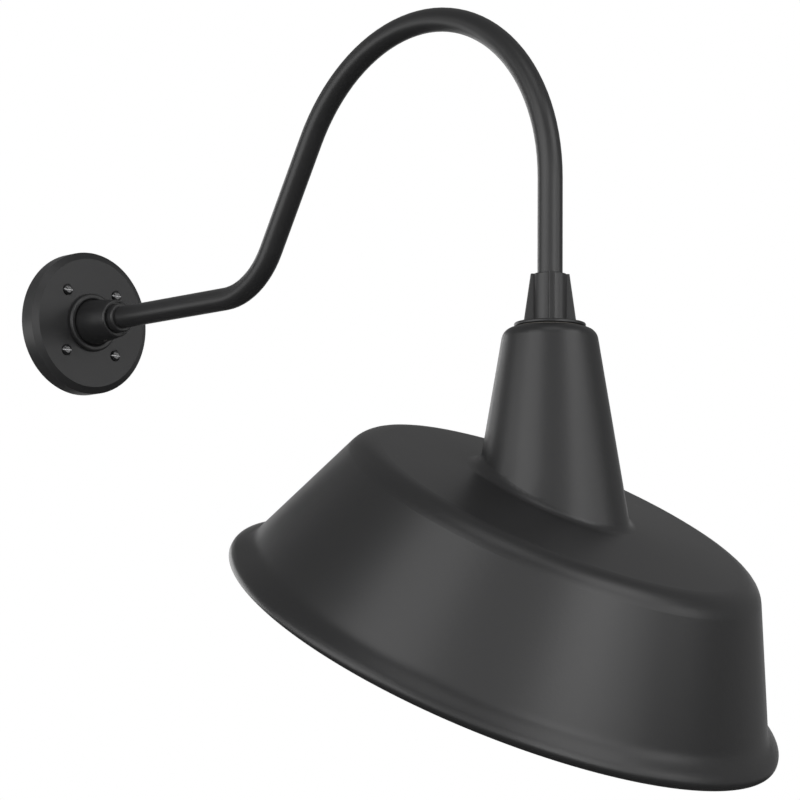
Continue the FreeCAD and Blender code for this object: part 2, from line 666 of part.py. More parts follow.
def arm_tube():
    """The bent tube: a straight run, a rise, a crown of two radii and a straight leg."""
    body = new_body("arm_tube")
    path = new_sketch(body, "YZ_Plane", "centreline")
    centres = [
        ("-bend_out", "lower_bend_radius", "lower_bend_radius"),
        ("-crown_out", "crown_height - rear_crown_radius", "rear_crown_radius"),
        ("-crown_out", "crown_height - front_crown_radius", "front_crown_radius"),
    ]
    rise = math.radians(value("rise_angle"))
    spans = [(-math.pi / 2 - rise, -math.pi / 2), (math.pi / 2 - rise, math.pi / 2), (math.pi / 2, math.pi)]
    arcs = []
    for (x, y, radius), (start, end) in zip(centres, spans):
        ring = Part.Circle(Vector(value(x), value(y), 0), Z_AXIS, value(radius))
        arcs.append(Part.ArcOfCircle(ring, start, end))
    run_start = Vector(-value("tube_start"), 0, 0)
    leg_end = Vector(-value("arm_reach"), value("tube_end"), 0)
    run, bend, climb, rear, front, leg = path.addGeometry([
        Part.LineSegment(run_start, arcs[0].EndPoint),
        arcs[0],
        Part.LineSegment(arcs[0].StartPoint, arcs[1].StartPoint),
        arcs[1],
        arcs[2],
        Part.LineSegment(arcs[2].EndPoint, leg_end),
    ], False)
    for one, its_end, other, other_end in (
        (run, 2, bend, 2), (bend, 1, climb, 1), (climb, 2, rear, 1), (front, 2, leg, 1),
    ):
        path.addConstraint(Sketcher.Constraint("Tangent", one, its_end, other, other_end))
    path.addConstraint(Sketcher.Constraint("Coincident", rear, 2, front, 1))
    path.addConstraint(Sketcher.Constraint("Vertical", leg))
    for arc, (x, y, radius) in zip((bend, rear, front), centres):
        fix(path, "DistanceX", arc, 3, x)
        fix_radius(path, arc, radius)
    fix(path, "DistanceY", bend, 3, "lower_bend_radius")
    fix(path, "DistanceY", rear, 3, "crown_height - rear_crown_radius")
    fix(path, "DistanceX", rear, 2, "-crown_out")
    fix(path, "DistanceX", run, 1, "-tube_start")
    fix(path, "DistanceY", run, 1, "0")
    fix(path, "DistanceY", leg, 2, "tube_end")
    section = new_sketch(body, "XZ_Plane", "section", lift="tube_start")
    circle(section, "0", "0", "tube_radius")
    circle(section, "0", "0", "tube_bore_radius")
    pipe = feature(body, "AdditivePipe", "tube")
    pipe.Profile = section
    pipe.Spine = path
    doc.recompute()


def bushing(body, tube_end, flange_end, sleeve_end):
    """A plastic ring with a flange against the tube's end and a sleeve inside it."""
    turned_outline(body, "ring", [
        ("bushing_bore_radius", flange_end),
        ("tube_radius - sliding_clearance", flange_end),
        ("tube_radius - sliding_clearance", tube_end),
        ("bushing_sleeve_radius", tube_end),
        ("bushing_sleeve_radius", sleeve_end),
        ("bushing_bore_radius", sleeve_end),
    ])


def cavity_bushing():
    bushing(wall_body("cavity_bushing"), "tube_start", "tube_start - bushing_flange",
            "tube_start + bushing_sleeve")


def tube_bushing():
    bushing(leg_body("tube_bushing"), "tube_end", "bushing_end", "tube_end + bushing_sleeve")


# Leads --------------------------------------------------------------------------------------------


def bent_wire(corners, radii):
    """Straight runs between corners, each inner corner turned on its own tangent arc."""
    edges = []
    here = corners[0]
    for before, corner, after, radius in zip(corners, corners[1:], corners[2:], radii):
        start, middle, end = corner_arc(before, corner, after, radius)
        if (start - here).Length > 1e-6:
            edges.append(Part.LineSegment(here, start).toShape())
        edges.append(Part.Arc(start, middle, end).toShape())
        here = end
    edges.append(Part.LineSegment(here, corners[-1]).toShape())
    return Part.Wire(edges)


def lead(name, side, reach):
    """A lead from its connector in the plate's cavity, through the arm, to the lamp holder."""
    across = side * value("lead_offset")
    slope = value("rise_angle")
    top = value("crown_height")
    rise_base = value("bend_out + lower_bend_radius * tan(rise_angle / 2)")
    rise_top = rise_base + top / math.tan(math.radians(slope))
    corners = [
        Vector(side * reach, -value("lead_standoff"), 0),
        Vector(across, -value("lead_standoff"), 0),
        Vector(across, -rise_base, 0),
        Vector(across, -rise_top, top),
        Vector(across, -value("arm_reach"), top),
        Vector(across, -value("arm_reach"), -value("lead_end_drop")),
    ]
    radii = [value(size) for size in (
        "lead_bend_radius", "lower_bend_radius", "rear_crown_radius", "front_crown_radius")]
    path = bent_wire(corners, radii)
    section = Part.Wire([Part.Circle(corners[0], X_AXIS, value("lead_radius")).toShape()])
    solid = path.makePipeShell([section], True, False)
    round_area = math.pi * value("lead_radius") ** 2
    if abs(solid.Volume / (round_area * path.Length) - 1) > 1e-3:
        raise RuntimeError(f"{name} has the wrong volume")
    piece = doc.addObject("Part::Feature", name)
    piece.Label = name
    piece.Shape = solid
    piece.Placement = Placement()


def leads():
    reach = value("connector_start + connector_grip")
    lead("lead_black", -1, reach)
    lead("lead_white", 1, reach)


def ground_lead():
    """A short straight lead from the ground screw's head to its connector."""
    body = wall_body("ground_lead")
    start = "ground_head_radius + sliding_clearance - ground_screw_left"
    sketch = new_sketch(body, "YZ_Plane", "section", lift=start)
    circle(sketch, "-ground_screw_down", "lead_standoff", "lead_radius")
    extrude(body, sketch, "lead", "ground_lead_bare + connector_grip")


def connector(body, name, across, up, facing):
    """A closed-end cap lying along X with its bore towards -X (facing 1) or +X (facing -1)."""
    shape = new_sketch(body, "XY_Plane", f"{name}_half")
    start, end = across, f"({across}) + {facing} * connector_length"
    bore_end = f"({across}) + {facing} * connector_bore_depth"
    bore = "lead_radius + free_clearance"
    polygon(shape, [
        (start, f"({up}) + {bore}"),
        (start, f"({up}) + connector_radius"),
        (end, f"({up}) + connector_tip_radius"),
        (end, up),
        (bore_end, up),
        (bore_end, f"({up}) + {bore}"),
    ])
    shape.setExpression("AttachmentOffset.Base.z", bound("lead_standoff"))
    axis = shape.addGeometry(Part.LineSegment(
        Vector(value(bore_end), value(up), 0), Vector(value(end), value(up), 0)), True)
    fix(shape, "DistanceX", axis, 1, bore_end)
    fix(shape, "DistanceY", axis, 1, up)
    fix(shape, "DistanceX", axis, 2, end)
    fix(shape, "DistanceY", axis, 2, up)
    turned = feature(body, "Revolution", name)
    turned.Profile = shape
    turned.ReferenceAxis = (shape, ["Axis0"])
    turned.Angle = 360
    doc.recompute()


def wire_connectors():
    """Three closed-end caps that join the leads to the wires in the wall."""
    body = wall_body("wire_connectors")
    connector(body, "white", "connector_start", "0", 1)
    connector(body, "black", "-connector_start", "0", -1)
    start = "ground_head_radius + sliding_clearance - ground_screw_left + ground_lead_bare"
    connector(body, "ground", start, "-ground_screw_down", 1)


def ground_screw():
    body = wall_body("ground_screw")
    head = new_sketch(body, "XY_Plane", "head_outline", lift="ground_boss_end - ground_head_height")
    circle(head, "-ground_screw_left", "-ground_screw_down", "ground_head_radius")
    extrude(body, head, "head", "ground_head_height")
    shank = new_sketch(body, "XY_Plane", "shank_outline", lift="ground_boss_end")
    circle(shank, "-ground_screw_left", "-ground_screw_down", "ground_screw_radius")
    extrude(body, shank, "shank", "ground_boss_height")
    slot = new_sketch(body, "XY_Plane", "slot_outline", lift="ground_boss_end - ground_head_height")
    rectangle(
        slot,
        "-ground_screw_left - ground_head_radius - free_clearance",
        "-ground_screw_down - screw_slot_width / 2",
        "-ground_screw_left + ground_head_radius + free_clearance",
        "-ground_screw_down + screw_slot_width / 2",
    )
    extrude(body, slot, "slot", "screw_slot_depth", cut=True, backwards=True)


# Fitter -------------------------------------------------------------------------------------------


def stem_fitter():
    """A finned collar on the leg, its flange and the spigot that carries shade and lamp holder."""
    body = head_body("stem_fitter")
    turned_outline(body, "turning", [
        ("fitter_bore_radius", "fitter_top"),
        ("fitter_bore_radius", "fitter_shoulder"),
        ("fitter_lead_bore", "fitter_shoulder"),
        ("fitter_lead_bore", "fitter_spigot_end"),
        ("fitter_spigot_radius", "fitter_spigot_end"),
        ("fitter_spigot_radius", "flange_bottom"),
        ("flange_radius", "flange_bottom"),
        ("flange_radius", "flange_top"),
        ("fitter_radius", "flange_top"),
        ("fitter_radius", "fitter_top"),
    ])
    round_rings(body, "flange_round", [("flange_radius", "flange_top"), ("flange_radius", "flange_bottom")],
                "flange_rounding")
    round_rings(body, "top_round", [("fitter_radius", "fitter_top")], "fitter_rounding")
    root = "(fitter_bore_radius + fitter_radius) / 2"
    fin = new_sketch(body, "XZ_Plane", "fin_outline")
    fin.AttachmentOffset = Placement(Vector(), Rotation(Y_AXIS, 1))
    fin.setExpression("AttachmentOffset.Rotation.Angle", bound("fin_angle"))
    polygon(fin, [
        (root, "flange_top - flange_thickness / 2"),
        ("fin_foot_radius", "flange_top - flange_thickness / 2"),
        ("fin_foot_radius", "flange_top"),
        ("fin_top_radius", "fitter_top"),
        (root, "fitter_top"),
    ])
    first = extrude(body, fin, "fin", "fin_thickness", both_sides=True)
    repeat(body, "fins", [first], 360, 4)
    fin_length = value("fitter_top - flange_top")
    long_edges = [
        f"Edge{index}"
        for index, edge in enumerate(body.Tip.Shape.Edges, start=1)
        if isinstance(edge.Curve, Part.Line)
        and abs(edge.BoundBox.ZLength - fin_length) < 1e-3
        and math.hypot(edge.CenterOfMass.x, edge.CenterOfMass.y) > value("fitter_radius + fitter_rounding")
    ]
    rounding(body, "fin_round", long_edges, "fitter_rounding")
    hole = new_sketch(body, "YZ_Plane", "screw_hole_outline")
    circle(hole, "0", "-set_screw_drop", "set_screw_radius + thread_clearance")
    first_hole = extrude(body, hole, "screw_hole", "fitter_radius * 2", cut=True, backwards=True)
    repeat(body, "screw_holes", [first_hole], 90, 2)


def fitter_set_screws():
    """Two socket set screws a quarter turn apart, slackened so that the shade can be turned."""
    body = head_body("fitter_set_screws")
    tip = "tube_radius + free_clearance"
    length = "fitter_radius + set_screw_stand - tube_radius - free_clearance"
    shank = new_sketch(body, "YZ_Plane", "outline", lift=tip)
    circle(shank, "0", "-set_screw_drop", "set_screw_radius")
    first = extrude(body, shank, "shank", length)
    socket = new_sketch(body, "YZ_Plane", "socket_outline", lift="fitter_radius + set_screw_stand")
    circle(socket, "0", "-set_screw_drop", "set_screw_socket")
    sunk = extrude(body, socket, "socket", "set_screw_socket * 2", cut=True)
    repeat(body, "pair", [first, sunk], 90, 2)


def fitter_gasket():
    body = head_body("fitter_gasket")
    turned_outline(body, "ring", [
        ("shade_hole_radius", "flange_bottom"),
        ("flange_radius - flange_rounding", "flange_bottom"),
        ("flange_radius - flange_rounding", "neck_top"),
        ("shade_hole_radius", "neck_top"),
    ])


# Shade --------------------------------------------------------------------------------------------


def dome_outline(sketch):
    """Half of the dome's outside: lip, crease, tapering skirt, shoulder and shallow cone.

    The corners stay as points that the runs pass through, and an arc rounds each of them.
    """
    rim, crease, root, shoulder, apex = (Vector(value(x), value(y), 0) for x, y in (
        ("rim_radius", "0"),
        ("rim_radius - lip_draw", "lip_height"),
        ("lip_root_radius", "lip_root_height"),
        ("shoulder_radius", "shoulder_height"),
        ("0", "cap_height"),
    ))
    crease_arc = corner_arc(rim, crease, root, value("crease_rounding"))
    root_arc = corner_arc(crease, root, shoulder, value("lip_root_rounding"))
    shoulder_arc = corner_arc(root, shoulder, apex, value("shoulder_rounding"))
    floor, lip, crease_round, hollow, root_round, skirt, shoulder_round, cap, axis = sketch.addGeometry([
        Part.LineSegment(Vector(), rim),
        Part.LineSegment(rim, crease_arc[0]),
        Part.Arc(*crease_arc),
        Part.LineSegment(crease_arc[2], root_arc[0]),
        Part.Arc(*reversed(root_arc)),
        Part.LineSegment(root_arc[2], shoulder_arc[0]),
        Part.Arc(*shoulder_arc),
        Part.LineSegment(shoulder_arc[2], apex),
        Part.LineSegment(apex, Vector()),
    ], False)
    for one, its_end, other, other_end in (
        (floor, 2, lip, 1), (cap, 2, axis, 1), (axis, 2, floor, 1),
    ):
        sketch.addConstraint(Sketcher.Constraint("Coincident", one, its_end, other, other_end))
    for one, its_end, other, other_end in (
        (lip, 2, crease_round, 1), (crease_round, 2, hollow, 1), (hollow, 2, root_round, 2),
        (root_round, 1, skirt, 1), (skirt, 2, shoulder_round, 1), (shoulder_round, 2, cap, 1),
    ):
        sketch.addConstraint(Sketcher.Constraint("Tangent", one, its_end, other, other_end))
    for piece, point, x, y in (
        (floor, 1, "0", "0"), (lip, 1, "rim_radius", "0"), (axis, 1, "0", "cap_height"),
    ):
        fix(sketch, "DistanceX", piece, point, x)
        fix(sketch, "DistanceY", piece, point, y)
    for corner, x, y, runs in (
        (crease, "rim_radius - lip_draw", "lip_height", (lip, hollow)),
        (root, "lip_root_radius", "lip_root_height", (hollow, skirt)),
        (shoulder, "shoulder_radius", "shoulder_height", (skirt, cap)),
    ):
        mark = sketch.addGeometry(Part.Point(corner), True)
        fix(sketch, "DistanceX", mark, 1, x)
        fix(sketch, "DistanceY", mark, 1, y)
        for run in runs:
            sketch.addConstraint(Sketcher.Constraint("PointOnObject", mark, 1, run))
    fix_radius(sketch, crease_round, "crease_rounding")
    fix_radius(sketch, root_round, "lip_root_rounding")
    fix_radius(sketch, shoulder_round, "shoulder_rounding")


def shade():
    """A spun dome, tilted, blended into an upright tapering neck and hollowed to one thickness."""
    body = head_body("shade")
    dome = new_sketch(body, "YZ_Plane", "dome_outline")
    dome.AttachmentOffset = Placement(Vector(), Rotation(Z_AXIS, 1))
    dome.setExpression("AttachmentOffset.Base.x", bound("rim_offset"))
    dome.setExpression("AttachmentOffset.Base.y", bound("-rim_drop"))
    dome.setExpression("AttachmentOffset.Rotation.Angle", bound("shade_tilt"))
    doc.recompute()
    dome_outline(dome)
    spin(body, dome, "dome")
    turned_outline(body, "neck", [
        ("0", "neck_top"), ("neck_radius", "neck_top"),
        ("neck_foot_radius", "neck_foot"), ("0", "neck_foot"),
    ], plane="YZ_Plane")
    round_rings(body, "neck_round", [("neck_radius", "neck_top")], "neck_rounding")
    seam = [
        f"Edge{index}"
        for index, edge in enumerate(body.Tip.Shape.Edges, start=1)
        if isinstance(edge.Curve, Part.BSplineCurve)
    ]
    rounding(body, "neck_blend", seam, "neck_fillet")
    rim_normal = dome.Placement.Rotation.multVec(Y_AXIS)
    floors = [
        f"Face{index}"
        for index, face in enumerate(body.Tip.Shape.Faces, start=1)
        if isinstance(face.Surface, Part.Plane)
        and abs(abs(face.Surface.Axis.dot(rim_normal)) - 1) < 1e-6
    ]
    hollow_out(body, floors, "shade_wall")
    hole = new_sketch(body, "XY_Plane", "hole_outline", lift="neck_top")
    circle(hole, "0", "0", "shade_hole_radius")
    extrude(body, hole, "hole", "shade_wall + free_clearance", cut=True)


# Lamp holder --------------------------------------------------------------------------------------


def shade_locknut():
    body = head_body("shade_locknut")
    hex_nut(body, "shade_nut_flats", "fitter_spigot_radius + sliding_clearance",
            "shade_nut_end", "neck_inside")


def holder_cap():
    """A sheet cap on the fitter's spigot that the porcelain hangs from."""
    body = head_body("holder_cap")
    inner = "cap_radius - cap_wall"
    turned_outline(body, "cap", [
        ("shade_hole_radius", "cap_top"), ("cap_radius", "cap_top"), ("cap_radius", "cap_top - cap_skirt"),
        (inner, "cap_top - cap_skirt"), (inner, "holder_top"), ("shade_hole_radius", "holder_top"),
    ])
    round_rings(body, "top_round", [("cap_radius", "cap_top")], "cap_rounding")
    hole = new_sketch(body, "XY_Plane", "screw_hole_outline", lift="cap_top")
    circle(hole, "holder_screw_circle", "0", "holder_screw_radius + thread_clearance")
    circle(hole, "-holder_screw_circle", "0", "holder_screw_radius + thread_clearance")
    extrude(body, hole, "screw_holes", "cap_wall", cut=True)


def lamp_holder():
    """Porcelain with a well for the leads above, a web, and the socket for the lamp below."""
    body = head_body("lamp_holder")
    turned_outline(body, "porcelain", [
        ("0", "well_floor"), ("holder_well_radius", "well_floor"), ("holder_well_radius", "holder_top"),
        ("holder_radius", "holder_top"), ("holder_radius", "holder_end"), ("socket_radius", "holder_end"),
        ("socket_radius", "socket_top"), ("0", "socket_top"),
    ])
    round_rings(body, "edges", [("holder_radius", "holder_top"), ("holder_radius", "holder_end")],
                "holder_rounding")
    screws = new_sketch(body, "XY_Plane", "screw_hole_outline", lift="holder_top")
    circle(screws, "holder_screw_circle", "0", "holder_screw_radius + thread_clearance")
    circle(screws, "-holder_screw_circle", "0", "holder_screw_radius + thread_clearance")
    extrude(body, screws, "screw_holes", "holder_screw_length - cap_wall", cut=True)
    terminals = new_sketch(body, "XY_Plane", "terminal_hole_outline", lift="well_floor")
    circle(terminals, "terminal_circle", "0", "terminal_radius + thread_clearance")
    circle(terminals, "-terminal_circle", "0", "terminal_radius + thread_clearance")
    extrude(body, terminals, "terminal_holes", "terminal_length", cut=True)


def headed_pair(name, circle_radius, seat, head_radius, head_height, shank_radius, length):
    """Two upright screws on either side of the axis, heads up on a seat."""
    body = head_body(name)
    head = new_sketch(body, "XY_Plane", "head_outline", lift=seat)
    shank = new_sketch(body, "XY_Plane", "shank_outline", lift=seat)
    slot = new_sketch(body, "XY_Plane", "slot_outline", lift=f"({seat}) + {head_height}")
    for sign in ("", "-"):
        centre = f"{sign}{circle_radius}"
        circle(head, centre, "0", head_radius)
        circle(shank, centre, "0", shank_radius)
        rectangle(
            slot,
            f"{centre} - {head_radius} / 6", f"-{head_radius} - free_clearance",
            f"{centre} + {head_radius} / 6", f"{head_radius} + free_clearance",
        )
    extrude(body, head, "heads", head_height)
    extrude(body, shank, "shanks", length, backwards=True)
    extrude(body, slot, "slots", f"{head_height} / 3", cut=True)


def holder_screws():
    headed_pair("holder_screws", "holder_screw_circle", "cap_top", "holder_screw_head",
                "holder_screw_head_height", "holder_screw_radius", "holder_screw_length")


def terminal_screws():
    headed_pair("terminal_screws", "terminal_circle", "well_floor", "terminal_head_radius",
                "terminal_head_height", "terminal_radius", "terminal_length")


def screw_shell():
    """The shell that takes the lamp's thread, its flange under the porcelain's web."""
    body = head_body("screw_shell")
    turned_outline(body, "shell", [
        ("shell_flange_bore", "socket_top"), ("shell_outer_radius", "socket_top"),
        ("shell_outer_radius", "socket_top - shell_length"),
        ("shell_inner_radius", "socket_top - shell_length"),
        ("shell_inner_radius", "socket_top - shell_wall"), ("shell_flange_bore", "socket_top - shell_wall"),
    ])


def centre_contact():
    body = head_body("centre_contact")
    turned_outline(body, "disc", [
        ("0", "contact_face"), ("centre_contact_radius", "contact_face"),
        ("centre_contact_radius", "socket_top"), ("0", "socket_top"),
    ])


# Lamp ---------------------------------------------------------------------------------------------


def lamp_contact():
    body = head_body("lamp_contact")
    turned_outline(body, "disc", [
        ("0", "insulator_top"), ("lamp_contact_radius", "insulator_top"),
        ("lamp_contact_radius / 2", "lamp_top"), ("0", "lamp_top"),
    ])


def lamp_insulator():
    body = head_body("lamp_insulator")
    turned_outline(body, "ring", [
        ("0", "base_top"), ("insulator_radius", "base_top"), ("lamp_contact_radius", "insulator_top"),
        ("0", "insulator_top"),
    ])


def lamp_base():
    body = head_body("lamp_base")
    inner = "base_radius - base_wall"
    turned_outline(body, "shell", [
        ("lamp_contact_radius", "base_top"), ("base_radius", "base_top"), ("base_radius", "base_end"),
        (inner, "base_end"), (inner, "base_top - base_wall"),
        ("lamp_contact_radius", "base_top - base_wall"),
    ])


def glass_side(sketch, inset):
    """One side of the bulb's wall: straight neck, cone and ball, drawn in from the outside by inset."""
    neck = f"glass_neck_radius - {inset}"
    ball_radius = f"glass_radius - {inset}"
    x, end, radius = value(neck), value("glass_neck_end"), value(ball_radius)
    centre = Vector(0, value("glass_tip + glass_radius"), 0)
    reach = Vector(x, end, 0) - centre
    turn = math.atan2(reach.y, reach.x) - math.acos(radius / reach.Length)
    arc = Part.ArcOfCircle(Part.Circle(centre, Z_AXIS, radius), -math.pi / 2, turn)
    side, cone, ball = sketch.addGeometry([
        Part.LineSegment(Vector(x, value("glass_start"), 0), Vector(x, end, 0)),
        Part.LineSegment(Vector(x, end, 0), arc.EndPoint),
        arc,
    ], False)
    sketch.addConstraint(Sketcher.Constraint("Coincident", side, 2, cone, 1))
    sketch.addConstraint(Sketcher.Constraint("Tangent", cone, 2, ball, 2))
    for piece, point, across, height in (
        (side, 1, neck, "glass_start"),
        (side, 2, neck, "glass_neck_end"),
        (ball, 3, "0", "glass_tip + glass_radius"),
    ):
        fix(sketch, "DistanceX", piece, point, across)
        fix(sketch, "DistanceY", piece, point, height)
    fix(sketch, "DistanceX", ball, 1, "0")
    fix_radius(sketch, ball, ball_radius)
    return side, ball, arc.StartPoint


def lamp_glass():
    """A blown bulb of one wall, open inside the lamp's base."""
    body = head_body("lamp_glass")
    sketch = new_sketch(body, "XZ_Plane", "outline")
    outer_side, outer_ball, outer_tip = glass_side(sketch, "0")
    inner_side, inner_ball, inner_tip = glass_side(sketch, "glass_wall")
    top = value("glass_start")
    lid, tip = sketch.addGeometry([
        Part.LineSegment(Vector(value("glass_neck_radius - glass_wall"), top, 0),
                         Vector(value("glass_neck_radius"), top, 0)),
        Part.LineSegment(outer_tip, inner_tip),
    ], False)
    for one, its_end, other, other_end in (
        (lid, 1, inner_side, 1), (lid, 2, outer_side, 1), (tip, 1, outer_ball, 1), (tip, 2, inner_ball, 1),
    ):
        sketch.addConstraint(Sketcher.Constraint("Coincident", one, its_end, other, other_end))
    spin(body, sketch, "blown")


# The assembly -------------------------------------------------------------------------------------

for build in (
    wall_gasket, wall_plate, plate_screws, arm_hub, hub_locknut, hub_set_screw, gland_ring, arm_seal,
    arm_tube, cavity_bushing, tube_bushing, leads, ground_lead, wire_connectors, ground_screw,
    stem_fitter, fitter_set_screws, fitter_gasket, shade, shade_locknut, holder_cap, lamp_holder,
    holder_screws, terminal_screws, screw_shell, centre_contact, lamp_contact, lamp_insulator,
    lamp_base, lamp_glass,
):
    build()

doc.recompute()
for item in doc.Objects:
    if "Invalid" in item.State or "Error" in item.State:
        raise RuntimeError(f"{item.Name} failed: {item.State}")
pieces = [item for item in doc.Objects if item.TypeId in ("PartDesign::Body", "Part::Feature")]
for piece in pieces:
    if piece.Shape.isNull() or not piece.Shape.isValid() or not piece.Shape.Solids:
        raise RuntimeError(f"{piece.Label} has no valid shape")

os.makedirs("parts", exist_ok=True)
for piece in pieces:
    piece.Shape.exportStep(f"parts/{piece.Label}.step")
    print(f"{piece.Label}: {len(piece.Shape.Solids)} solid(s), {piece.Shape.Volume:.1f} mm3")
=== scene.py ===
import json
import math

import bpy
import numpy as np
from mathutils import Matrix, Vector


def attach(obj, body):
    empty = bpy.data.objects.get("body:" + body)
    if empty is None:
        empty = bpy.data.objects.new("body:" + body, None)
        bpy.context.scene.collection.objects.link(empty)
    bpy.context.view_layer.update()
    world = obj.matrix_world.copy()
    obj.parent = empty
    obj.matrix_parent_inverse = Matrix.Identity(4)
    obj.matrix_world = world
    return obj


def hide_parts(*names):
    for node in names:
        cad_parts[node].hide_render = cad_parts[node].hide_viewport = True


print("sconce: loading the frame")
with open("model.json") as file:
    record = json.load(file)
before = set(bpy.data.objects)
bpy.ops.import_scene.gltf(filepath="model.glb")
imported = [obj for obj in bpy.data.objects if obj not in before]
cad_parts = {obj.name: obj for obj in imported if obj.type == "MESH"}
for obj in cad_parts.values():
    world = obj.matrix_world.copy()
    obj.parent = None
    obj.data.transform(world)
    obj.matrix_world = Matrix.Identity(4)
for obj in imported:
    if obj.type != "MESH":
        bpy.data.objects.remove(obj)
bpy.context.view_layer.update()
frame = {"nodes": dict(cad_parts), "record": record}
nodes = frame["nodes"]
scene = bpy.context.scene
scene.view_settings.view_transform = "Standard"
milli = 0.001

# azimuth is counted from straight in front of the wall, positive to the right; metres and degrees
viewpoint = {
    "azimuth": -42.254,
    "elevation": -7.440,
    "roll": 0.430,
    "distance": 2.9595,
    "aimRight": 0.28304,
    "aimUp": -0.06607,
    "lens": 151.05,
}


def directionAt(azimuth, elevation):
    # from the object towards what stands at these angles
    a, e = math.radians(azimuth), math.radians(elevation)
    return Vector((math.sin(a) * math.cos(e), -math.cos(a) * math.cos(e), math.sin(e)))


def placeCamera(name, azimuth, elevation, roll, distance, aimRight, aimUp, lens):
    # the aim point lies in the plane through the origin that faces the camera
    back, level = directionAt(azimuth, elevation), directionAt(azimuth + 90.0, 0.0)
    upright = back.cross(level)
    tilt = math.radians(roll)
    right = level * math.cos(tilt) + upright * math.sin(tilt)
    up = upright * math.cos(tilt) - level * math.sin(tilt)
    place = right * aimRight + up * aimUp + back * distance
    camera = bpy.data.objects.new(name, bpy.data.cameras.new(name))
    camera.data.lens = lens
    camera.matrix_world = Matrix.Translation(place) @ Matrix((right, up, back)).transposed().to_4x4()
    scene.collection.objects.link(camera)
    return camera


scene.camera = placeCamera("camera", **viewpoint)


class Wire:
    # an output socket of a node tree; reckoning with it adds Math nodes

    def __init__(self, graph, socket):
        self.graph = graph
        self.socket = socket

    def maths(self, operation, first, second=0.0):
        return self.graph.add("ShaderNodeMath", {"operation": operation}, {0: first, 1: second})

    def __add__(self, other):
        return self.maths("ADD", self, other)

    def __radd__(self, other):
        return self.maths("ADD", other, self)

    def __sub__(self, other):
        return self.maths("SUBTRACT", self, other)

    def __rsub__(self, other):
        return self.maths("SUBTRACT", other, self)

    def __mul__(self, other):
        return self.maths("MULTIPLY", self, other)

    def __rmul__(self, other):
        return self.maths("MULTIPLY", other, self)

    def __truediv__(self, other):
        return self.maths("DIVIDE", self, other)

    def __abs__(self):
        return self.maths("ABSOLUTE", self)

    def above(self, level, softness):
        # 0 below the level, 1 above it, with a soft step between
        settings = {"interpolation_type": "SMOOTHSTEP"}
        ends = {"From Min": level - softness, "From Max": level + softness}
        return self.graph.add("ShaderNodeMapRange", settings, {"Value": self, **ends})


class Graph:
    # a node tree, built node by node

    def __init__(self, tree):
        self.tree = tree

    def add(self, kind, settings=None, inputs=None, output=0):
        node = self.tree.nodes.new(kind)
        for key, value in (settings or {}).items():
            setattr(node, key, value)
        for key, value in (inputs or {}).items():
            self.plug(node.inputs[key], value)
        return Wire(self, node.outputs[output])

    def plug(self, socket, value):
        # a wire is linked, and a colour of three numbers gets its fourth
        if isinstance(value, Wire):
            self.tree.links.new(value.socket, socket)
        elif isinstance(value, tuple) and len(value) == 3 and len(socket.default_value) == 4:
            socket.default_value = (*value, 1.0)
        else:
            socket.default_value = value

    def mix(self, factor, one, other):
        inputs = {0: factor, 6: one, 7: other}
        return self.add("ShaderNodeMix", {"data_type": "RGBA"}, inputs, output=2)

    def rays(self, kind):
        # 1 for the rays of one kind: Camera, Diffuse, Glossy or Transmission
        return self.add("ShaderNodeLightPath", output=f"Is {kind} Ray")


class Finish(Graph):
    # a material on Object coordinates, in metres

    def __init__(self, name, **shader):
        self.material = bpy.data.materials.new(name)
        self.material.use_nodes = True
        super().__init__(self.material.node_tree)
        self.shader = self.tree.nodes["Principled BSDF"]
        self.place = self.add("ShaderNodeTexCoord", output="Object")
        self.surface(**shader)

    def surface(self, **inputs):
        # shader sockets by name, with underscores for spaces
        for key, value in inputs.items():
            self.plug(self.shader.inputs[key.replace("_", " ")], value)

    def noise(self, scale, detail=3.0, roughness=0.5, place=None):
        inputs = {"Vector": place or self.place, "Scale": scale, "Detail": detail, "Roughness": roughness}
        return self.add("ShaderNodeTexNoise", {}, inputs)

    def cells(self, scale):
        return self.add("ShaderNodeTexVoronoi", {}, {"Vector": self.place, "Scale": scale})

    def stretched(self, x, y, z):
        # the place with each axis scaled, so that a pattern runs long one way
        return self.add("ShaderNodeMapping", {}, {"Vector": self.place, "Scale": (x, y, z)})

    def bumps(self, height, distance, strength=1.0):
        inputs = {"Height": height, "Distance": distance, "Strength": strength}
        return self.add("ShaderNodeBump", {}, inputs)


powderLook = {
    "dark": (0.0130, 0.0130, 0.0135),
    "pale": (0.0180, 0.0180, 0.0186),
    "roughness": 0.31,
    "peel": 0.000038,  # height of the orange peel
    "white": (0.80, 0.80, 0.78),  # inside of the shade
    "whiteShade": (0.74, 0.735, 0.71),
    "ragged": 0.3,  # how far the overspray's edge strays
    "driftScale": 7.0,  # the patterns, from broad to fine
    "sootScale": 24.0,
    "speckScale": 260.0,
    "peelScale": 380.0,
    "grainScale": 1900.0,
}


